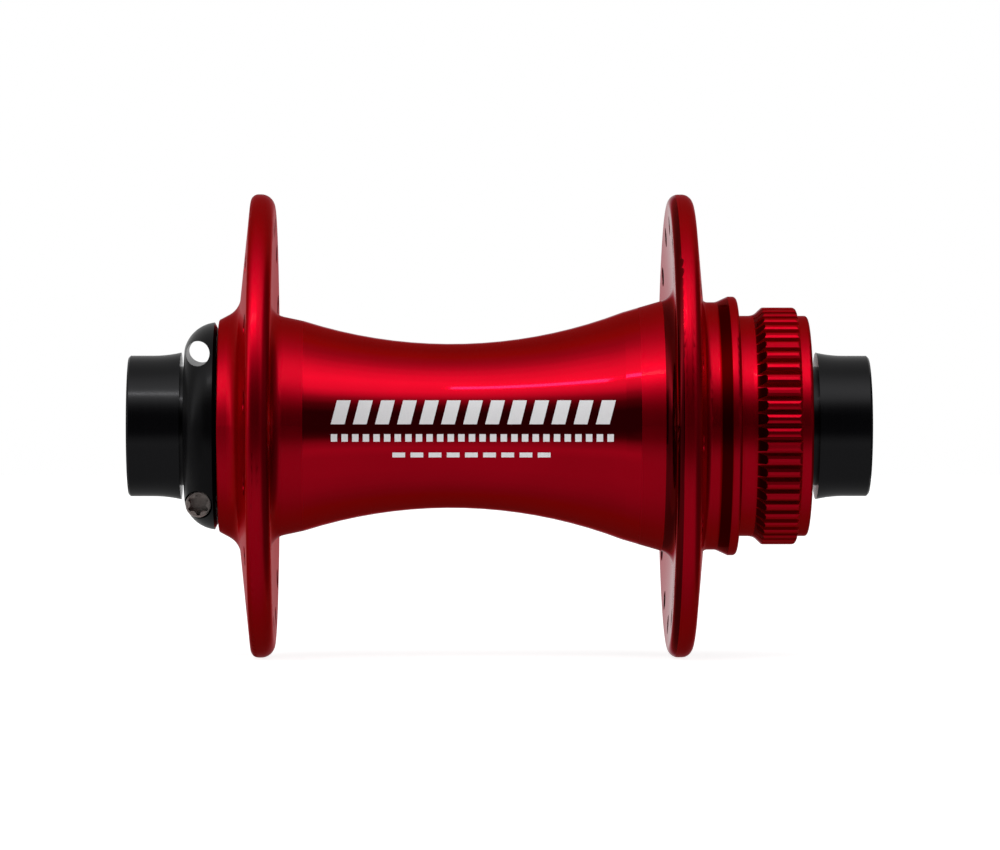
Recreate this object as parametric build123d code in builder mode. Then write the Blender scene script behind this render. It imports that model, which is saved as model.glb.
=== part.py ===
"""Front disc-brake bicycle hub for a 15 mm thru-axle, 110 mm between the fork ends.

The hub's axis is Y, with +Y towards the brake rotor, +X forward and +Z up. The origin lies on the
axis, midway between the end-cap faces. Outlines are drawn as (radius, distance along the axis) and
revolved about Y. All lengths are in millimetres.
"""
import os
from math import cos, radians, sin, tan

from build123d import *

os.makedirs("parts", exist_ok=True)

# Fork interface
over_ends = 110.0
thru_bore_r = 7.55
cap_r = 10.46
cap_edge = 0.3

# Flanges: corners of their four faces, each coned between its root and its rim
flange_r = 34.45
left_outer_root = (17.4, -38.5)
left_outer_rim = (flange_r, -36.7)
left_inner_rim = (flange_r, -33.15)
left_inner_root = (16.7, -34.0)
right_inner_root = (19.15, 26.0)
right_inner_rim = (flange_r, 25.0)
right_outer_rim = (flange_r, 28.6)
right_outer_root = (18.43, 30.2)
left_outer_rim_fillet = 1.1
left_inner_rim_fillet = 2.05
right_inner_rim_fillet = 1.5
right_outer_rim_fillet = 1.6
inner_root_fillet = 2.4

# Barrel and boss
left_end = -41.55
left_end_r = 15.75
right_end = 45.9
waist_y = -7.15
waist_r = 12.22
waist_arc_r = 71.5
waist_arc_left = -28.75
waist_arc_right = 18.4
shoulder_blend = 1.0

# Inside of the shell: a narrow bore that tapers out to the shoulder behind each bearing
shell_bore_r = 10.6
bearing_stop_r = 12.7
left_taper_start = -27.0
left_taper_end = -31.0
right_taper_start = 24.0
right_taper_end = 27.5

# Spoke holes: two rings of sixteen, half a pitch apart
spokes_per_flange = 16
spoke_circle_r = 29.95
spoke_hole_r = 1.3
spoke_countersink_r = 1.75
spoke_phase_left = -6.4
spoke_phase_right = -17.65

# Rotor side: shoulder ring, splined seat and the thread bore for a lockring
ring_root_end = 32.2
ring_r = 19.27
ring_start = 34.0
ring_face = 35.3
neck_r = 16.42
neck_end = 37.8
spline_r = 17.64
spline_root_r = 16.45
spline_start = 39.1
spline_end = 44.17
spline_teeth = 54
slot_start = 37.6
slot_root_half = 0.12
slot_flank_half = 0.4
slot_flank_drop = 0.16
slot_ease_half = 1.0
slot_ease_rise = 0.06
lockring_bore_r = 14.5
lockring_bore_floor = 38.4

# Cartridge bearings, 18 x 28 x 7
bearing_bore_r = 9.0
bearing_outer_r = 14.0
bearing_width = 7.0
bearing_outer_face = {"left": 40.2, "right": 37.0}
ball_r = 1.75
ball_pitch_r = 11.5
ball_count = 15
groove_r = 1.80
inner_race_r = 10.5
outer_race_r = 12.5
seal_thickness = 0.6
seal_edge_r = 12.8
seal_lip_r = 10.55
seal_inset = 0.1
cage_inner_r = 11.0
cage_outer_r = 12.0
cage_width = 4.6
cage_pocket_r = 1.85

# Snap rings that keep the bearings in the shell
snap_groove_width = 0.8
snap_groove_r = {"left": 14.7, "right": 15.0}
snap_ring_thickness = 0.7
snap_ring_band = 1.9
snap_ear_r = 1.25
snap_ear_hole_r = 0.5
snap_ear_half_angle = 18
snap_gap_half_angle = 12

# Axle and its end caps
neck_shaft_r = 8.85
middle_shaft_r = 8.75
left_journal_end = -31.5
right_journal_end = 28.5
journal_taper = 0.5
shoulder_shaft_r = 9.9
shoulder_shaft_end = 44.0
axle_end = 53.4
cap_inner_edge = 47.2
cap_flare_r = 10.93
cap_flare_start = 51.3
cap_bore_r = 8.87
o_ring_section_r = 0.45
o_ring_groove_depth = 0.9
o_ring_groove_width = 1.1
o_ring_y = 50.3

# Adjusting collar with its clamp screw, on the left end of the axle; both stand turned by the
# clock angle about the axle, where the bearing adjustment has left them
collar_outer_face = -46.6
collar_face_r = 11.8
collar_arc_mid = (14.08, -45.15)
collar_r = 15.4
collar_edge = -42.2
collar_back_r = 14.6
collar_inner_face = -41.8
collar_nose_r = 10.35
collar_nose_end = -40.22
collar_bore_r = 8.87
collar_holes_y = -44.45
collar_clock = 2.1
spanner_hole_z = 10.98
spanner_hole_r = 1.8
clamp_screw_z = -11.35
clamp_slit_width = 0.8
screw_head_r = 1.9
screw_head_height = 2.2
screw_seat_x = 5.2
screw_pocket_r = 2.15
screw_shank_r = 1.46
screw_hole_r = 1.5
screw_tip_x = -6.2
torx_point_r = 1.6
torx_valley_r = 1.15
torx_depth = 1.5

SIDES = (("left", -1), ("right", 1))


def outward(sign):
    """Plane whose local Y runs along the axle from the hub's centre towards one end."""
    return Plane((0, 0, 0), x_dir=(1, 0, 0), z_dir=(0, 0, sign))


def across(y):
    """Plane square to the axle at a distance y along it, facing +Y."""
    return Plane((0, y, 0), x_dir=(1, 0, 0), z_dir=(0, 1, 0))


def finish(part, name):
    """Label a finished piece and write it."""
    part.label = name
    export_step(part, f"parts/{name}.step")


def waist_radius(y):
    """Outside radius of the barrel on its long concave arc."""
    return waist_r + waist_arc_r - (waist_arc_r**2 - (y - waist_y) ** 2) ** 0.5


def face_at_spokes(root, rim):
    """Distance along the axle of a coned flange face where it crosses the spoke circle."""
    share = (spoke_circle_r - root[0]) / (rim[0] - root[0])
    return root[1] + share * (rim[1] - root[1])


def spoke_places(phase, y, way):
    """Planes at one flange's spoke holes, at a distance y along the axle and facing +Y or -Y."""
    planes = []
    for index in range(spokes_per_flange):
        angle = radians(phase + index * 360 / spokes_per_flange)
        centre = (spoke_circle_r * sin(angle), y, spoke_circle_r * cos(angle))
        planes.append(Plane(centre, x_dir=(1, 0, 0), z_dir=(0, way, 0)))
    return planes


# ---------------------------------------------------------------- hub shell
left_bearing_stop = bearing_width - bearing_outer_face["left"]
right_bearing_stop = bearing_outer_face["right"] - bearing_width

with BuildPart() as hub_shell:
    with BuildSketch(Plane.XY) as shell_outline:
        with BuildLine():
            # Bearing boss, left flange and the short shoulder down to the barrel
            left = FilletPolyline(
                (shell_bore_r, 0),
                (shell_bore_r, left_taper_start),
                (bearing_stop_r, left_taper_end),
                (bearing_stop_r, left_bearing_stop),
                (bearing_outer_r, left_bearing_stop),
                (bearing_outer_r, left_end),
                (left_end_r, left_end),
                left_outer_root,
                left_outer_rim,
                left_inner_rim,
                left_inner_root,
                (waist_radius(waist_arc_left), waist_arc_left),
                radius=(
                    0, 0, 0, 0, 0.2, 0.3, 3.3,
                    left_outer_rim_fillet, left_inner_rim_fillet, inner_root_fillet,
                ),
            )
            ThreePointArc(
                left @ 1,
                (waist_r, waist_y),
                (waist_radius(waist_arc_right), waist_arc_right),
            )
            # Right flange, groove, shoulder ring, spline land and lockring bore
            FilletPolyline(
                (waist_radius(waist_arc_right), waist_arc_right),
                right_inner_root,
                right_inner_rim,
                right_outer_rim,
                right_outer_root,
                (right_outer_root[0], ring_root_end),
                (ring_r, ring_start),
                (ring_r, ring_face),
                (neck_r, ring_face),
                (neck_r, neck_end),
                (spline_r, spline_start),
                (spline_r, spline_end),
                (neck_r, spline_end),
                (neck_r, right_end),
                (lockring_bore_r, right_end),
                (lockring_bore_r, lockring_bore_floor),
                (bearing_outer_r, lockring_bore_floor),
                (bearing_outer_r, right_bearing_stop),
                (bearing_stop_r, right_bearing_stop),
                (bearing_stop_r, right_taper_end),
                (shell_bore_r, right_taper_start),
                (shell_bore_r, 0),
                radius=(
                    inner_root_fillet, right_inner_rim_fillet, right_outer_rim_fillet,
                    0.9, 1.0, 0.6, 0.6, 0.15, 1.6, 0.5, 0.6, 0.15, 0.5, 0.25, 0, 0, 0, 0, 0, 0,
                ),
            )
        make_face()
        shoulders = [
            vertex
            for vertex in shell_outline.vertices()
            if abs(vertex.Y - waist_arc_left) < 0.01 or abs(vertex.Y - waist_arc_right) < 0.01
        ]
        fillet(shoulders, radius=shoulder_blend)
    revolve(axis=Axis.Y)

    # Grooves for the two snap rings, outboard of the bearings
    for side, sign in SIDES:
        groove_start = bearing_outer_face[side] + 0.05
        with BuildSketch(outward(sign)):
            with Locations((snap_groove_r[side] / 2, groove_start + snap_groove_width / 2)):
                Rectangle(snap_groove_r[side], snap_groove_width)
        revolve(axis=Axis.Y, mode=Mode.SUBTRACT)

    # Narrow spline slots that run out into the neck and ease the edges of each crest
    slot_length = spline_end + 0.1 - slot_start
    slot_flank_r = spline_r - slot_flank_drop
    slot_ease_r = spline_r + slot_ease_rise
    with BuildSketch(across(slot_start)):
        with PolarLocations(0, spline_teeth):
            Polygon(
                (spline_root_r, -slot_root_half),
                (slot_flank_r, -slot_flank_half),
                (slot_ease_r, -slot_ease_half),
                (slot_ease_r, slot_ease_half),
                (slot_flank_r, slot_flank_half),
                (spline_root_r, slot_root_half),
                align=None,
            )
    extrude(amount=slot_length, mode=Mode.SUBTRACT)

    # Spoke holes, countersunk on both faces of each flange
    sink = spoke_countersink_r - spoke_hole_r
    for phase, sign, inner_face, outer_face in (
        (spoke_phase_left, -1, (left_inner_root, left_inner_rim), (left_outer_root, left_outer_rim)),
        (spoke_phase_right, 1, (right_inner_root, right_inner_rim), (right_outer_root, right_outer_rim)),
    ):
        inner = face_at_spokes(*inner_face)
        outer = face_at_spokes(*outer_face)
        with Locations(*spoke_places(phase, (inner + outer) / 2, 1)):
            Cylinder(spoke_hole_r, 8, mode=Mode.SUBTRACT)
        with Locations(*spoke_places(phase, inner + sign * sink / 2, -sign)):
            Cone(spoke_hole_r, spoke_countersink_r, sink, mode=Mode.SUBTRACT)
        with Locations(*spoke_places(phase, outer - sign * sink / 2, sign)):
            Cone(spoke_hole_r, spoke_countersink_r, sink, mode=Mode.SUBTRACT)
finish(hub_shell.part, "hub_shell")


# ---------------------------------------------------------------- bearings
def ball_places(y):
    """Planes at one bearing's ball centres, on its pitch circle, facing away from the axle."""
    planes = []
    for index in range(ball_count):
        angle = radians(index * 360 / ball_count)
        away = (cos(angle), 0, sin(angle))
        centre = (ball_pitch_r * away[0], y, ball_pitch_r * away[2])
        planes.append(Plane(centre, x_dir=(0, 1, 0), z_dir=away))
    return planes


def race(name, sign, r_in, r_out, start, middle, seal_seats):
    """One bearing ring with its ball groove; the outer ring also holds the edges of the seals."""
    with BuildPart() as ring:
        with BuildSketch(outward(sign)):
            with Locations(((r_in + r_out) / 2, middle)):
                RectangleRounded(r_out - r_in, bearing_width, 0.25)
            with Locations((ball_pitch_r, middle)):
                Circle(groove_r, mode=Mode.SUBTRACT)
            if seal_seats:
                for edge in (start + seal_inset, start + bearing_width - seal_inset - seal_thickness):
                    with Locations((seal_edge_r - 0.5, edge + seal_thickness / 2)):
                        Rectangle(1.0, seal_thickness, mode=Mode.SUBTRACT)
        revolve(axis=Axis.Y)
    finish(ring.part, name)


for side, sign in SIDES:
    bearing_end = bearing_outer_face[side]
    bearing_start = bearing_end - bearing_width
    bearing_middle = bearing_end - bearing_width / 2

    race(f"{side}_bearing_inner_race", sign, bearing_bore_r, inner_race_r,
         bearing_start, bearing_middle, False)
    race(f"{side}_bearing_outer_race", sign, outer_race_r, bearing_outer_r,
         bearing_start, bearing_middle, True)

    with BuildPart() as balls:
        with Locations(*ball_places(sign * bearing_middle)):
            Sphere(ball_r)
    finish(balls.part, f"{side}_bearing_balls")

    with BuildPart() as cage:
        with BuildSketch(outward(sign)):
            with Locations(((cage_inner_r + cage_outer_r) / 2, bearing_middle)):
                Rectangle(cage_outer_r - cage_inner_r, cage_width)
        revolve(axis=Axis.Y)
        with Locations(*ball_places(sign * bearing_middle)):
            Cylinder(cage_pocket_r, 4, mode=Mode.SUBTRACT)
    finish(cage.part, f"{side}_bearing_cage")

    outer_edge = bearing_end - seal_inset - seal_thickness
    inner_edge = bearing_start + seal_inset
    for place, edge in (("outer", outer_edge), ("inner", inner_edge)):
        with BuildPart() as seal:
            with BuildSketch(outward(sign)):
                with Locations(((seal_lip_r + seal_edge_r) / 2, edge + seal_thickness / 2)):
                    Rectangle(seal_edge_r - seal_lip_r, seal_thickness)
            revolve(axis=Axis.Y)
        finish(seal.part, f"{side}_bearing_{place}_seal")

# ---------------------------------------------------------------- snap rings
for side, sign in SIDES:
    ring_outer_r = snap_groove_r[side] - 0.1
    ring_inner_r = ring_outer_r - snap_ring_band
    ring_plane_y = bearing_outer_face[side] + 0.1
    ear_r = ring_inner_r - 0.2
    first_ear = 90 - snap_ear_half_angle
    with BuildPart() as snap_ring:
        with BuildSketch(Plane((0, sign * ring_plane_y, 0), x_dir=(1, 0, 0), z_dir=(0, sign, 0))):
            Circle(ring_outer_r)
            Circle(ring_inner_r, mode=Mode.SUBTRACT)
            with PolarLocations(ear_r, 2, first_ear, 2 * snap_ear_half_angle, endpoint=True):
                Circle(snap_ear_r)
            reach = 2 * ring_outer_r
            spread = reach * tan(radians(snap_gap_half_angle))
            Polygon((0, 0), (-spread, reach), (spread, reach), align=None, mode=Mode.SUBTRACT)
            with PolarLocations(ear_r, 2, first_ear, 2 * snap_ear_half_angle, endpoint=True):
                Circle(snap_ear_hole_r, mode=Mode.SUBTRACT)
        extrude(amount=snap_ring_thickness)
    finish(snap_ring.part, f"{side}_snap_ring")

# ---------------------------------------------------------------- axle
with BuildPart() as axle:
    with BuildSketch(Plane.XY):
        with BuildLine():
            FilletPolyline(
                (thru_bore_r, -axle_end),
                (neck_shaft_r, -axle_end),
                (neck_shaft_r, collar_nose_end),
                (bearing_bore_r, collar_nose_end),
                (bearing_bore_r, left_journal_end),
                (middle_shaft_r, left_journal_end + journal_taper),
                (middle_shaft_r, right_journal_end - journal_taper),
                (bearing_bore_r, right_journal_end),
                (bearing_bore_r, bearing_outer_face["right"]),
                (shoulder_shaft_r, bearing_outer_face["right"]),
                (shoulder_shaft_r, shoulder_shaft_end),
                (neck_shaft_r, shoulder_shaft_end),
                (neck_shaft_r, axle_end),
                (thru_bore_r, axle_end),
                radius=(0.3, 0, 0, 0, 0, 0, 0, 0, 0.2, 0.4, 0, 0.3),
            )
            Line((thru_bore_r, axle_end), (thru_bore_r, -axle_end))
        make_face()
    revolve(axis=Axis.Y)
finish(axle.part, "axle")

# ---------------------------------------------------------------- end caps and their O-rings
for side, sign in SIDES:
    with BuildPart() as end_cap:
        with BuildSketch(outward(sign)):
            with BuildLine():
                cap_face = over_ends / 2
                barrel = FilletPolyline(
                    (cap_bore_r, cap_inner_edge),
                    (cap_bore_r, axle_end),
                    (thru_bore_r, axle_end),
                    (thru_bore_r, cap_face - cap_edge),
                    (thru_bore_r + cap_edge, cap_face),
                    (cap_r - cap_edge, cap_face),
                    (cap_r, cap_face - cap_edge),
                    (cap_r, cap_flare_start),
                    radius=0,
                )
                flare = TangentArc(barrel @ 1, (cap_flare_r, cap_inner_edge), tangent=(0, -1))
                Line(flare @ 1, barrel @ 0)
            make_face()
            with Locations((cap_bore_r + o_ring_groove_depth / 2, o_ring_y)):
                Rectangle(o_ring_groove_depth, o_ring_groove_width, mode=Mode.SUBTRACT)
        revolve(axis=Axis.Y)
    finish(end_cap.part, f"{side}_end_cap")

    with BuildPart() as o_ring:
        with BuildSketch(outward(sign)):
            with Locations((cap_bore_r + o_ring_section_r, o_ring_y)):
                Circle(o_ring_section_r)
        revolve(axis=Axis.Y)
    finish(o_ring.part, f"{side}_cap_o_ring")

# ---------------------------------------------------------------- adjusting collar
with BuildPart() as adjusting_collar:
    with BuildSketch(Plane.XY):
        with BuildLine():
            ThreePointArc((collar_face_r, collar_outer_face), collar_arc_mid, (collar_r, collar_edge))
            Polyline(
                (collar_r, collar_edge),
                (collar_back_r, collar_inner_face),
                (collar_nose_r, collar_inner_face),
                (collar_nose_r, collar_nose_end),
                (collar_bore_r, collar_nose_end),
                (collar_bore_r, collar_outer_face),
                (collar_face_r, collar_outer_face),
            )
        make_face()
    revolve(axis=Axis.Y)

    # Pin-spanner hole through the top, clear of the axle
    with Locations(Plane((0, collar_holes_y, spanner_hole_z), z_dir=(1, 0, 0))):
        Cylinder(spanner_hole_r, 40, mode=Mode.SUBTRACT)

    # Clamp slit from the bore to the rim, crossed by the screw's pocket and hole
    with Locations((0, (collar_outer_face + collar_nose_end) / 2, -13)):
        Box(clamp_slit_width, 10, 9.4, mode=Mode.SUBTRACT)
    with BuildSketch(Plane((screw_seat_x, collar_holes_y, clamp_screw_z), z_dir=(1, 0, 0))):
        Circle(screw_pocket_r)
    extrude(amount=12, mode=Mode.SUBTRACT)
    with BuildSketch(Plane((screw_tip_x - 0.4, collar_holes_y, clamp_screw_z), z_dir=(1, 0, 0))):
        Circle(screw_hole_r)
    extrude(amount=screw_seat_x - screw_tip_x + 0.6, mode=Mode.SUBTRACT)
finish(adjusting_collar.part.rotate(Axis.Y, collar_clock), "adjusting_collar")

# ---------------------------------------------------------------- clamp screw
with BuildPart() as clamp_screw:
    with BuildSketch(Plane((screw_seat_x + 0.02, collar_holes_y, clamp_screw_z), z_dir=(1, 0, 0))):
        Circle(screw_head_r)
    extrude(amount=screw_head_height)
    fillet(clamp_screw.edges().group_by(Axis.X)[-1], radius=0.2)
    with BuildSketch(Plane((screw_tip_x, collar_holes_y, clamp_screw_z), z_dir=(1, 0, 0))):
        Circle(screw_shank_r)
    extrude(amount=screw_seat_x - screw_tip_x + 0.1)

    # Six-lobed socket
    head_top = screw_seat_x + 0.02 + screw_head_height
    with BuildSketch(Plane((head_top, collar_holes_y, clamp_screw_z), z_dir=(1, 0, 0))) as socket:
        Circle(torx_point_r)
        with PolarLocations(torx_point_r + 0.17, 6, start_angle=30):
            Circle(torx_point_r + 0.17 - torx_valley_r, mode=Mode.SUBTRACT)
    extrude(amount=-torx_depth, mode=Mode.SUBTRACT)
finish(clamp_screw.part.rotate(Axis.Y, collar_clock), "clamp_screw")
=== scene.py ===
"""Looks of the front disc-brake hub: studio, camera, materials and the fine surface detail.

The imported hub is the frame: its axis is Y, the rotor side is +Y, forward is +X and up is +Z. Lengths
are in metres, and the constant MM turns millimetres into metres.
"""
from math import asin, cos, pi, sin, sqrt

import bmesh
import bpy
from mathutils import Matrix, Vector


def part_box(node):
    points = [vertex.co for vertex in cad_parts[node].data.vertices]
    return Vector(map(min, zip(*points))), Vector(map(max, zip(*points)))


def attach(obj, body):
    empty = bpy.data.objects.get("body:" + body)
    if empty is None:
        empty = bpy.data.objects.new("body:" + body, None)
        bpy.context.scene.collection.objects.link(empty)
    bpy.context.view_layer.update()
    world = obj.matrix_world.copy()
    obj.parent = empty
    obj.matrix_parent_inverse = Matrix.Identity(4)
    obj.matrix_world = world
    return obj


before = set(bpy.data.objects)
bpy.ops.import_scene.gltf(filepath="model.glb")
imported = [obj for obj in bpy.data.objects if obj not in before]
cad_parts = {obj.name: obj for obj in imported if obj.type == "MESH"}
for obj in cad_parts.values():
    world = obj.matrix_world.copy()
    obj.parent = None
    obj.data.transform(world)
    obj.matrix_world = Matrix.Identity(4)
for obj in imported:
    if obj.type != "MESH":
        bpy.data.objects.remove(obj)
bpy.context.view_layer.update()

MM = 0.001

# Camera: level with the axle, in front of the hub and slightly towards its left end
CAMERA_DISTANCE = 0.85
CAMERA_Y = -0.01314
CAMERA_Z = 0.00014
AIM_Y = 0.00019
PIXELS_PER_METRE = 6716.5
IMAGE_WIDTH = 1000
SENSOR_WIDTH = 36.0

# Studio room: brightness by angle about the axle, where 0 degrees is straight in front of the hub
# and 90 is overhead. A soft light hangs above the dark front where the camera stands, the floor side
# is paler, and the backdrop is bright. The first list holds square to the axle.
ROOM_MIDDLE = (
    (-180, 0.70), (-172, 0.45), (-162, 0.26), (-150, 0.18), (-130, 0.22), (-100, 0.27), (-80, 0.36),
    (-60, 0.41), (-40, 0.42), (-30, 0.50), (-22, 0.34), (-14, 0.08), (-8, 0.03), (18, 0.03), (28, 0.11),
    (36, 0.40), (41, 0.85), (48, 1.35), (60, 1.65), (70, 1.42), (80, 1.06), (90, 0.68), (100, 0.48),
    (115, 0.40), (130, 0.32), (150, 0.32), (162, 0.34), (172, 0.50), (180, 0.70),
)
# The same beyond the middle: wall by the hub's left end, wall by its right end, and far right
ROOM_LEFT = (
    (-180, 0.30), (-60, 0.45), (-20, 0.24), (0, 0.20), (20, 0.30), (28, 0.55), (44, 1.20), (52, 1.80),
    (70, 1.70), (90, 0.80), (110, 0.45), (180, 0.30),
)
ROOM_RIGHT = (
    (-180, 0.30), (-60, 0.42), (-27, 0.46), (-16, 0.20), (-5, 0.09), (11, 0.22), (28, 0.48), (40, 0.90),
    (52, 1.65), (78, 1.20), (95, 0.60), (115, 0.40), (180, 0.30),
)
ROOM_FAR_RIGHT = (
    (-180, 0.10), (-60, 0.08), (0, 0.05), (30, 0.08), (55, 0.16), (80, 0.15), (110, 0.10), (180, 0.10),
)
ROOM_BRIGHTEST = 2.0

# Where each wall's list takes over, as the share of a direction that points along the axle
LEFT_BLEND = (-0.70, -0.76)
RIGHT_BLEND = (0.56, 0.60)
FAR_RIGHT_BLEND = (0.64, 0.72)

# Barrel's long concave arc, as the CAD shell has it
WAIST_Y = -7.15 * MM
WAIST_R = 12.22 * MM
WAIST_ARC_R = 71.5 * MM

# Ends of the polished barrel along the axle, the width over which its finish changes there, and how
# much rougher the shell is beyond them
BARREL_LEFT = -28.9 * MM
BARREL_RIGHT = 20.6 * MM
FINISH_STEP = 0.1 * MM
TURNED_ROUGHNESS = 0.26

# Red oxide: its deepest and palest shades, the tint of its reflections at a glancing angle, and the
# dark red painted on the slopes in the rotor end as a painted reflection of the dark room
RED_DEEP = (0.50, 0.0, 0.011)
RED_PALE = (0.60, 0.0, 0.014)
GLANCING_RED = (0.9, 0.1, 0.15)
PAINTED_REFLECTION_RED = (0.12, 0.0, 0.003)

# How far a surface leans towards the barrel (the Y of its normal) to take the full painted dark reflection,
# and to take none
PAINTED_REFLECTION_FULL = -0.38
PAINTED_REFLECTION_NONE = -0.30

# Strip light over the front of the hub: its place, its size along the axle and across, its power
STRIP_PLACE = (0.394, -0.18, 0.542)
STRIP_SIZE = (0.37, 0.04)
STRIP_POWER = 0.45

# Laser-etched band on the barrel: its middle along the axle and its full length
BAND_MIDDLE_Y = -3.8 * MM
BAND_LENGTH = 42.0 * MM

# How far the etched slabs stand out of the barrel and reach into it
ETCH_PROUD = 0.035 * MM
ETCH_SUNK = 0.03 * MM

# Slanted bars: how many, the share of a pitch that each fills, their slant and their heights
BARS = 13
BAR_SHARE = 0.62
BAR_SLANT = 0.9 * MM
BAR_HEIGHTS = (0.25 * MM, 3.75 * MM)

# Row of ticks under the bars, and the shorter row of dashes under those
TICKS = 27
TICK_SHARE = 0.6
TICK_HEIGHTS = (-2.3 * MM, -1.2 * MM)
DASHES = 9
DASH_ROW = 24.0 * MM
DASH_SHARE = 0.7
DASH_HEIGHTS = (-4.6 * MM, -3.9 * MM)


# ---------------------------------------------------------------- studio
def add_camera():
    """The camera, level with the axle and aimed at the hub's middle."""
    data = bpy.data.cameras.new("camera")
    data.sensor_width = SENSOR_WIDTH
    data.lens = SENSOR_WIDTH * CAMERA_DISTANCE * PIXELS_PER_METRE / IMAGE_WIDTH
    data.clip_start = 0.05
    data.clip_end = 20.0
    camera = bpy.data.objects.new("camera", data)
    bpy.context.collection.objects.link(camera)
    camera.location = (CAMERA_DISTANCE, CAMERA_Y, CAMERA_Z)
    aim = Vector((0.0, AIM_Y, CAMERA_Z))
    camera.rotation_euler = (aim - camera.location).to_track_quat("-Z", "Y").to_euler()
    bpy.context.scene.camera = camera


def add_strip_light():
    """A long narrow light that faces the hub's middle, with its length along the axle."""
    data = bpy.data.lights.new("strip_light", "AREA")
    data.shape = "RECTANGLE"
    data.size = STRIP_SIZE[0]
    data.size_y = STRIP_SIZE[1]
    data.energy = STRIP_POWER
    light = bpy.data.objects.new("strip_light", data)
    bpy.context.collection.objects.link(light)
    light.location = STRIP_PLACE
    away = Vector(STRIP_PLACE).normalized()
    up = away.cross(Vector((0.0, 1.0, 0.0))).normalized()
    side = up.cross(away).normalized()
    basis = light.rotation_euler.to_matrix()
    basis.col[0], basis.col[1], basis.col[2] = side, up, away
    light.rotation_euler = basis.to_euler()
    light.visible_camera = False


def room_bands(nodes, links, turn, bands):
    """Brightness of the room by angle about the axle, as a share of the brightest band."""
    node = nodes.new("ShaderNodeValToRGB")
    links.new(turn, node.inputs["Fac"])
    ramp = node.color_ramp
    for index, (degrees, value) in enumerate(bands):
        position = degrees / 360 + 0.5
        if 0 < index < len(bands) - 1:
            element = ramp.elements.new(position)
        else:
            element = ramp.elements[0 if index == 0 else -1]
            element.position = position
        element.color = (value / ROOM_BRIGHTEST,) * 3 + (1.0,)
    return node.outputs["Color"]


def towards_end(nodes, links, sideways, span, near, far):
    """Brightness that goes over from near to far while a direction turns along the axle by span."""
    share = nodes.new("ShaderNodeMapRange")
    share.interpolation_type = "SMOOTHSTEP"
    share.inputs["From Min"].default_value = span[0]
    share.inputs["From Max"].default_value = span[1]
    links.new(sideways, share.inputs["Value"])
    blend = nodes.new("ShaderNodeMix")
    blend.data_type = "RGBA"
    links.new(share.outputs["Result"], blend.inputs["Factor"])
    links.new(near, blend.inputs["A"])
    links.new(far, blend.inputs["B"])
    return blend.outputs["Result"]


def add_world():
    """A studio room whose brightness goes round the axle in bands, and that the camera sees as white."""
    world = bpy.data.worlds.new("studio")
    bpy.context.scene.world = world
    world.use_nodes = True
    nodes = world.node_tree.nodes
    links = world.node_tree.links

    direction = nodes.new("ShaderNodeTexCoord")
    split = nodes.new("ShaderNodeSeparateXYZ")
    links.new(direction.outputs["Generated"], split.inputs["Vector"])
    angle = nodes.new("ShaderNodeMath")
    angle.operation = "ARCTAN2"
    links.new(split.outputs["Z"], angle.inputs[0])
    links.new(split.outputs["X"], angle.inputs[1])
    turn = nodes.new("ShaderNodeMapRange")
    turn.inputs["From Min"].default_value = -pi
    turn.inputs["From Max"].default_value = pi
    links.new(angle.outputs["Value"], turn.inputs["Value"])
    room = room_bands(nodes, links, turn.outputs["Result"], ROOM_MIDDLE)
    for wall, span in (
        (ROOM_LEFT, LEFT_BLEND),
        (ROOM_RIGHT, RIGHT_BLEND),
        (ROOM_FAR_RIGHT, FAR_RIGHT_BLEND),
    ):
        bands = room_bands(nodes, links, turn.outputs["Result"], wall)
        room = towards_end(nodes, links, split.outputs["Y"], span, room, bands)
    lit = nodes.new("ShaderNodeVectorMath")
    lit.operation = "SCALE"
    lit.inputs["Scale"].default_value = ROOM_BRIGHTEST
    links.new(room, lit.inputs[0])

    seen = nodes.new("ShaderNodeLightPath")
    shown = nodes.new("ShaderNodeMix")
    shown.data_type = "RGBA"
    shown.inputs["B"].default_value = (1.0, 1.0, 1.0, 1.0)
    links.new(seen.outputs["Is Camera Ray"], shown.inputs["Factor"])
    links.new(lit.outputs["Vector"], shown.inputs["A"])
    links.new(shown.outputs["Result"], nodes["Background"].inputs["Color"])


def add_floor():
    """A pale floor that the flanges stand on, kept out of reflections so that the room shows there."""
    half = 3.0
    mesh = bpy.data.meshes.new("floor")
    mesh.from_pydata(
        [(-half, -half, 0), (half, -half, 0), (half, half, 0), (-half, half, 0)], [], [(0, 1, 2, 3)]
    )
    floor = bpy.data.objects.new("floor", mesh)
    bpy.context.collection.objects.link(floor)
    floor.location.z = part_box("hub_shell")[0][2]
    paint, shader, nodes, links = new_material("floor_paint")
    shader.inputs["Base Color"].default_value = (0.5, 0.5, 0.5, 1.0)
    shader.inputs["Roughness"].default_value = 0.9
    shader.inputs["Specular IOR Level"].default_value = 0.1
    mesh.materials.append(paint)
    shader.inputs["Emission Color"].default_value = (1.0, 1.0, 1.0, 1.0)
    shader.inputs["Emission Strength"].default_value = 0.85
    floor.visible_glossy = False


# ---------------------------------------------------------------- materials
def new_material(name):
    """An empty node material, with its shader, nodes and links."""
    made = bpy.data.materials.new(name)
    made.use_nodes = True
    nodes = made.node_tree.nodes
    return made, nodes["Principled BSDF"], nodes, made.node_tree.links


def object_place(nodes):
    """Position on the hub, in metres."""
    return nodes.new("ShaderNodeTexCoord").outputs["Object"]


def noise(nodes, links, place, scale, detail=3.0):
    """Noise at a scale in features per metre."""
    texture = nodes.new("ShaderNodeTexNoise")
    texture.inputs["Scale"].default_value = scale
    texture.inputs["Detail"].default_value = detail
    links.new(place, texture.inputs["Vector"])
    return texture.outputs["Fac"]


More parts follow.
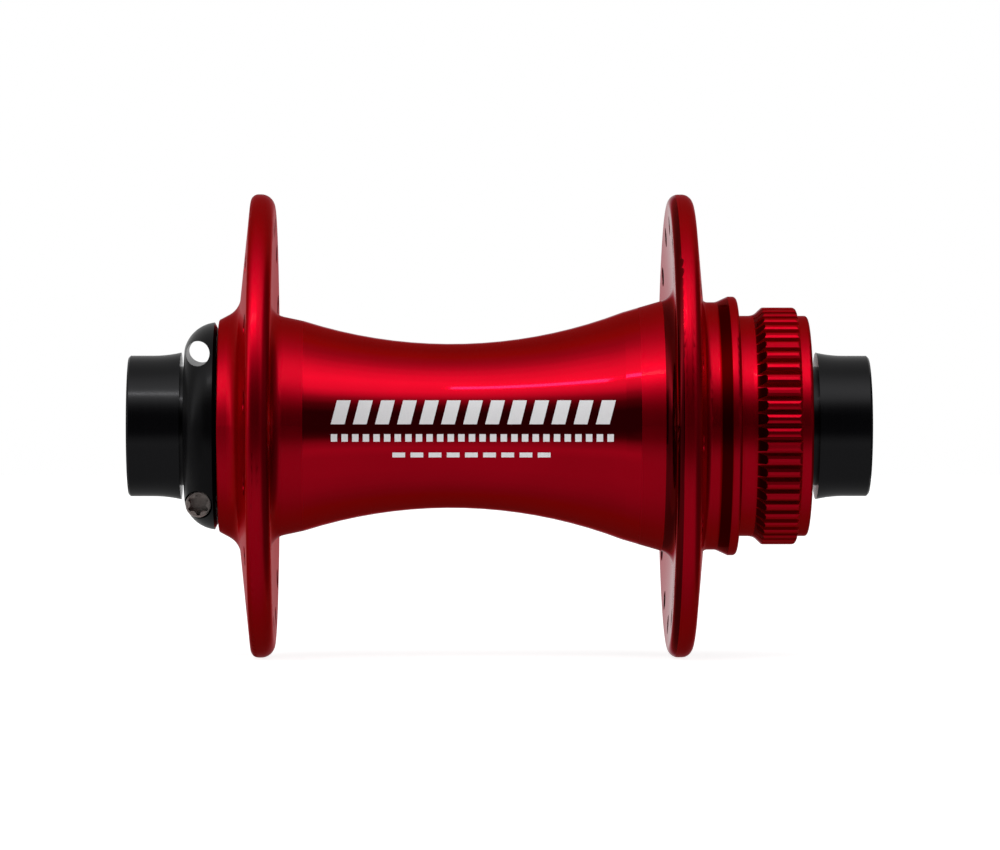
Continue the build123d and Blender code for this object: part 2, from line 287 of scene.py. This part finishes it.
def turned_place(nodes, links, place):
    """Radius and distance along the axle, the two directions in which a lathe leaves its lines."""
    split = nodes.new("ShaderNodeSeparateXYZ")
    links.new(place, split.inputs["Vector"])
    flat = nodes.new("ShaderNodeCombineXYZ")
    links.new(split.outputs["X"], flat.inputs["X"])
    links.new(split.outputs["Z"], flat.inputs["Z"])
    radius = nodes.new("ShaderNodeVectorMath")
    radius.operation = "LENGTH"
    links.new(flat.outputs["Vector"], radius.inputs[0])
    turned = nodes.new("ShaderNodeCombineXYZ")
    links.new(radius.outputs["Value"], turned.inputs["X"])
    links.new(split.outputs["Y"], turned.inputs["Y"])
    return turned.outputs["Vector"]


def ranged(nodes, links, value, low, high, from_low=0.3, from_high=0.7):
    """Value stretched onto low to high."""
    node = nodes.new("ShaderNodeMapRange")
    node.inputs["From Min"].default_value = from_low
    node.inputs["From Max"].default_value = from_high
    node.inputs["To Min"].default_value = low
    node.inputs["To Max"].default_value = high
    links.new(value, node.inputs["Value"])
    return node.outputs["Result"]


def mixed(nodes, links, factor, low, high):
    """Colour between low and high."""
    node = nodes.new("ShaderNodeMix")
    node.data_type = "RGBA"
    node.inputs["A"].default_value = (*low, 1.0)
    node.inputs["B"].default_value = (*high, 1.0)
    links.new(factor, node.inputs["Factor"])
    return node.outputs["Result"]


def bump(nodes, links, height, distance):
    """Normal with a height field of the given depth in metres."""
    node = nodes.new("ShaderNodeBump")
    node.inputs["Strength"].default_value = 1.0
    node.inputs["Distance"].default_value = distance
    links.new(height, node.inputs["Height"])
    return node.outputs["Normal"]


def combined(nodes, links, operation, first, second):
    """Two values put together by a math operation."""
    node = nodes.new("ShaderNodeMath")
    node.operation = operation
    links.new(first, node.inputs[0])
    links.new(second, node.inputs[1])
    return node.outputs["Value"]


def red_anodising():
    """Aluminium under clear red-dyed oxide: barrel polished bright, everything beyond it fine-turned."""
    made, shader, nodes, links = new_material("red_anodising")
    place = object_place(nodes)
    turned = turned_place(nodes, links, place)
    cloud = noise(nodes, links, place, 90.0)
    lines = noise(nodes, links, turned, 9000.0, detail=2.0)
    red = mixed(nodes, links, cloud, RED_DEEP, RED_PALE)

    spot = nodes.new("ShaderNodeSeparateXYZ")
    links.new(place, spot.inputs["Vector"])
    along = spot.outputs["Y"]
    left = ranged(nodes, links, along, 1.0, 0.0, BARREL_LEFT - FINISH_STEP, BARREL_LEFT)
    right = ranged(nodes, links, along, 0.0, 1.0, BARREL_RIGHT, BARREL_RIGHT + FINISH_STEP)
    beyond = combined(nodes, links, "ADD", left, right)

    # Slopes of the rotor end that face the barrel stay polished. Their dark colour stands for the dark
    # parts of the room that they reflect, not for a darker oxide.
    way = nodes.new("ShaderNodeSeparateXYZ")
    links.new(nodes.new("ShaderNodeTexCoord").outputs["Normal"], way.inputs["Vector"])
    sloped = ranged(nodes, links, way.outputs["Y"], 1.0, 0.0, PAINTED_REFLECTION_FULL, PAINTED_REFLECTION_NONE)
    painted_reflection = combined(nodes, links, "MULTIPLY", sloped, right)
    dark = nodes.new("ShaderNodeMix")
    dark.data_type = "RGBA"
    dark.inputs["B"].default_value = (*PAINTED_REFLECTION_RED, 1.0)
    links.new(painted_reflection, dark.inputs["Factor"])
    links.new(red, dark.inputs["A"])
    links.new(dark.outputs["Result"], shader.inputs["Base Color"])
    dulled = combined(nodes, links, "SUBTRACT", beyond, painted_reflection)
    finish = ranged(nodes, links, dulled, 0.0, TURNED_ROUGHNESS, 0.0, 1.0)
    polish = ranged(nodes, links, lines, 0.05, 0.09)
    links.new(combined(nodes, links, "ADD", polish, finish), shader.inputs["Roughness"])
    links.new(bump(nodes, links, lines, 0.4e-6), shader.inputs["Normal"])
    shader.inputs["Metallic"].default_value = 1.0
    shader.inputs["Specular Tint"].default_value = (*GLANCING_RED, 1.0)
    shader.inputs["Coat Weight"].default_value = 0.06
    shader.inputs["Coat Roughness"].default_value = 0.04
    shader.inputs["Coat IOR"].default_value = 1.5
    return made


def black_anodising():
    """Satin black anodising on the turned caps and axle."""
    made, shader, nodes, links = new_material("black_anodising")
    turned = turned_place(nodes, links, object_place(nodes))
    lines = noise(nodes, links, turned, 7000.0, detail=3.0)
    black = mixed(nodes, links, lines, (0.002, 0.002, 0.003), (0.005, 0.005, 0.006))
    links.new(black, shader.inputs["Base Color"])
    links.new(ranged(nodes, links, lines, 0.16, 0.22), shader.inputs["Roughness"])
    links.new(bump(nodes, links, lines, 0.4e-6), shader.inputs["Normal"])
    shader.inputs["Metallic"].default_value = 0.6
    shader.inputs["Specular IOR Level"].default_value = 0.5
    return made


def blasted_black():
    """Fine-blasted black anodising of the clamp collar."""
    made, shader, nodes, links = new_material("blasted_black")
    place = object_place(nodes)
    grain = noise(nodes, links, place, 14000.0, detail=2.0)
    patches = noise(nodes, links, place, 300.0)
    black = mixed(nodes, links, patches, (0.002, 0.002, 0.002), (0.005, 0.005, 0.006))
    links.new(black, shader.inputs["Base Color"])
    links.new(ranged(nodes, links, grain, 0.20, 0.28), shader.inputs["Roughness"])
    links.new(bump(nodes, links, grain, 1.0e-6), shader.inputs["Normal"])
    shader.inputs["Metallic"].default_value = 0.5
    shader.inputs["Specular IOR Level"].default_value = 0.2
    return made


def dark_steel():
    """Black-oxide steel of the clamp screw, worn brighter on its high spots."""
    made, shader, nodes, links = new_material("dark_steel")
    place = object_place(nodes)
    wear = noise(nodes, links, place, 2500.0, detail=4.0)
    links.new(mixed(nodes, links, wear, (0.20, 0.17, 0.16), (0.32, 0.28, 0.26)), shader.inputs["Base Color"])
    links.new(ranged(nodes, links, wear, 0.40, 0.55), shader.inputs["Roughness"])
    links.new(bump(nodes, links, wear, 3.0e-6), shader.inputs["Normal"])
    shader.inputs["Metallic"].default_value = 0.4
    return made


def ground_steel():
    """Ground bearing steel of races and balls."""
    made, shader, nodes, links = new_material("ground_steel")
    turned = turned_place(nodes, links, object_place(nodes))
    lines = noise(nodes, links, turned, 12000.0, detail=3.0)
    links.new(mixed(nodes, links, lines, (0.52, 0.52, 0.53), (0.68, 0.68, 0.69)), shader.inputs["Base Color"])
    links.new(ranged(nodes, links, lines, 0.12, 0.22), shader.inputs["Roughness"])
    shader.inputs["Metallic"].default_value = 1.0
    return made


def spring_steel():
    """Blackened spring steel of the snap rings."""
    made, shader, nodes, links = new_material("spring_steel")
    stain = noise(nodes, links, object_place(nodes), 1800.0, detail=4.0)
    links.new(mixed(nodes, links, stain, (0.09, 0.09, 0.10), (0.17, 0.16, 0.16)), shader.inputs["Base Color"])
    links.new(ranged(nodes, links, stain, 0.32, 0.48), shader.inputs["Roughness"])
    shader.inputs["Metallic"].default_value = 1.0
    return made


def moulded_cage():
    """Straw-coloured moulded polymer of the ball cages."""
    made, shader, nodes, links = new_material("moulded_cage")
    flow = noise(nodes, links, object_place(nodes), 1200.0, detail=2.0)
    links.new(mixed(nodes, links, flow, (0.50, 0.42, 0.26), (0.60, 0.52, 0.34)), shader.inputs["Base Color"])
    links.new(ranged(nodes, links, flow, 0.42, 0.55), shader.inputs["Roughness"])
    return made


def seal_rubber():
    """Moulded nitrile rubber of seals and O-rings."""
    made, shader, nodes, links = new_material("seal_rubber")
    skin = noise(nodes, links, object_place(nodes), 6000.0, detail=3.0)
    black = mixed(nodes, links, skin, (0.014, 0.014, 0.015), (0.026, 0.026, 0.027))
    links.new(black, shader.inputs["Base Color"])
    links.new(ranged(nodes, links, skin, 0.45, 0.62), shader.inputs["Roughness"])
    links.new(bump(nodes, links, skin, 3.0e-6), shader.inputs["Normal"])
    return made


def etched_aluminium():
    """Bare aluminium where the laser has taken the red oxide off."""
    made, shader, nodes, links = new_material("etched_aluminium")
    place = object_place(nodes)
    scan = noise(nodes, links, place, 9000.0, detail=2.0)
    links.new(mixed(nodes, links, scan, (0.78, 0.78, 0.80), (0.92, 0.92, 0.93)), shader.inputs["Base Color"])
    links.new(ranged(nodes, links, scan, 0.45, 0.62), shader.inputs["Roughness"])
    shader.inputs["Metallic"].default_value = 0.25
    return made


def dress(node, made):
    """Give every slot of a CAD node one material."""
    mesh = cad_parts[node].data
    if not mesh.materials:
        mesh.materials.append(made)
    for index in range(len(mesh.materials)):
        mesh.materials[index] = made


def dress_all():
    """Materials of all CAD nodes, by what each piece is."""
    finishes = {
        "hub_shell": red_anodising(),
        "adjusting_collar": blasted_black(),
        "clamp_screw": dark_steel(),
    }
    black = black_anodising()
    steel = ground_steel()
    snap = spring_steel()
    cage = moulded_cage()
    rubber = seal_rubber()
    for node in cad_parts:
        if node in finishes:
            dress(node, finishes[node])
        elif node.endswith("_race") or node.endswith("_balls"):
            dress(node, steel)
        elif node.endswith("_snap_ring"):
            dress(node, snap)
        elif node.endswith("_cage"):
            dress(node, cage)
        elif node.endswith("_seal") or node.endswith("_o_ring"):
            dress(node, rubber)
        else:
            dress(node, black)


# ---------------------------------------------------------------- etched band on the barrel
def waist_radius(y):
    """Barrel radius at a distance y along the axle."""
    return WAIST_R + WAIST_ARC_R - sqrt(WAIST_ARC_R**2 - (y - WAIST_Y) ** 2)


def etched_patch(mesh, corners, columns, rows):
    """A thin slab on the barrel over a four-cornered patch given as (y, z) on the barrel's front.

    Corners run lower left, lower right, upper right, upper left.
    """
    low_left, low_right, high_right, high_left = [Vector(corner) for corner in corners]
    layers = []
    for lift in (ETCH_PROUD, -ETCH_SUNK):
        layer = []
        for row in range(rows + 1):
            up = row / rows
            for column in range(columns + 1):
                along = column / columns
                low = low_left.lerp(low_right, along)
                high = high_left.lerp(high_right, along)
                y, z = low.lerp(high, up)
                angle = asin(z / waist_radius(y))
                radius = waist_radius(y) + lift
                layer.append(mesh.verts.new((radius * cos(angle), y, radius * sin(angle))))
        layers.append(layer)
    wide = columns + 1
    top, bottom = layers
    for row in range(rows):
        for column in range(columns):
            a, b = row * wide + column, row * wide + column + 1
            c, d = b + wide, a + wide
            mesh.faces.new((top[a], top[b], top[c], top[d]))
            mesh.faces.new((bottom[d], bottom[c], bottom[b], bottom[a]))
    rim = list(range(wide))
    rim += [row * wide + columns for row in range(1, rows + 1)]
    rim += [rows * wide + column for column in range(columns - 1, -1, -1)]
    rim += [row * wide for row in range(rows - 1, 0, -1)]
    for here, there in zip(rim, rim[1:] + rim[:1]):
        mesh.faces.new((top[there], top[here], bottom[here], bottom[there]))


def etched_row(mesh, count, length, share, slant, heights, cells):
    """A row of equal marks centred on the band, each filling its share of a pitch.

    Each mark is divided into cells, given as (columns, rows), so that it follows the barrel.
    """
    low, high = heights
    pitch = length / count
    width = share * pitch
    for index in range(count):
        y = BAND_MIDDLE_Y - length / 2 + index * pitch
        corners = ((y, low), (y + width, low), (y + width + slant, high), (y + slant, high))
        etched_patch(mesh, corners, *cells)


def add_etched_band(made):
    """Generic etched pattern: slanted bars, a row of ticks and a shorter row of dashes below them."""
    mesh = bmesh.new()
    etched_row(mesh, BARS, BAND_LENGTH, BAR_SHARE, BAR_SLANT, BAR_HEIGHTS, (4, 8))
    etched_row(mesh, TICKS, BAND_LENGTH, TICK_SHARE, 0.0, TICK_HEIGHTS, (3, 3))
    etched_row(mesh, DASHES, DASH_ROW, DASH_SHARE, 0.0, DASH_HEIGHTS, (4, 3))
    data = bpy.data.meshes.new("etched_band")
    mesh.to_mesh(data)
    mesh.free()
    data.materials.append(made)
    for face in data.polygons:
        face.use_smooth = False
    band = bpy.data.objects.new("etched_band", data)
    bpy.context.collection.objects.link(band)
    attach(band, "shell")


bpy.context.scene.view_settings.view_transform = "Standard"
add_camera()
add_world()
add_floor()
add_strip_light()
dress_all()
add_etched_band(etched_aluminium())
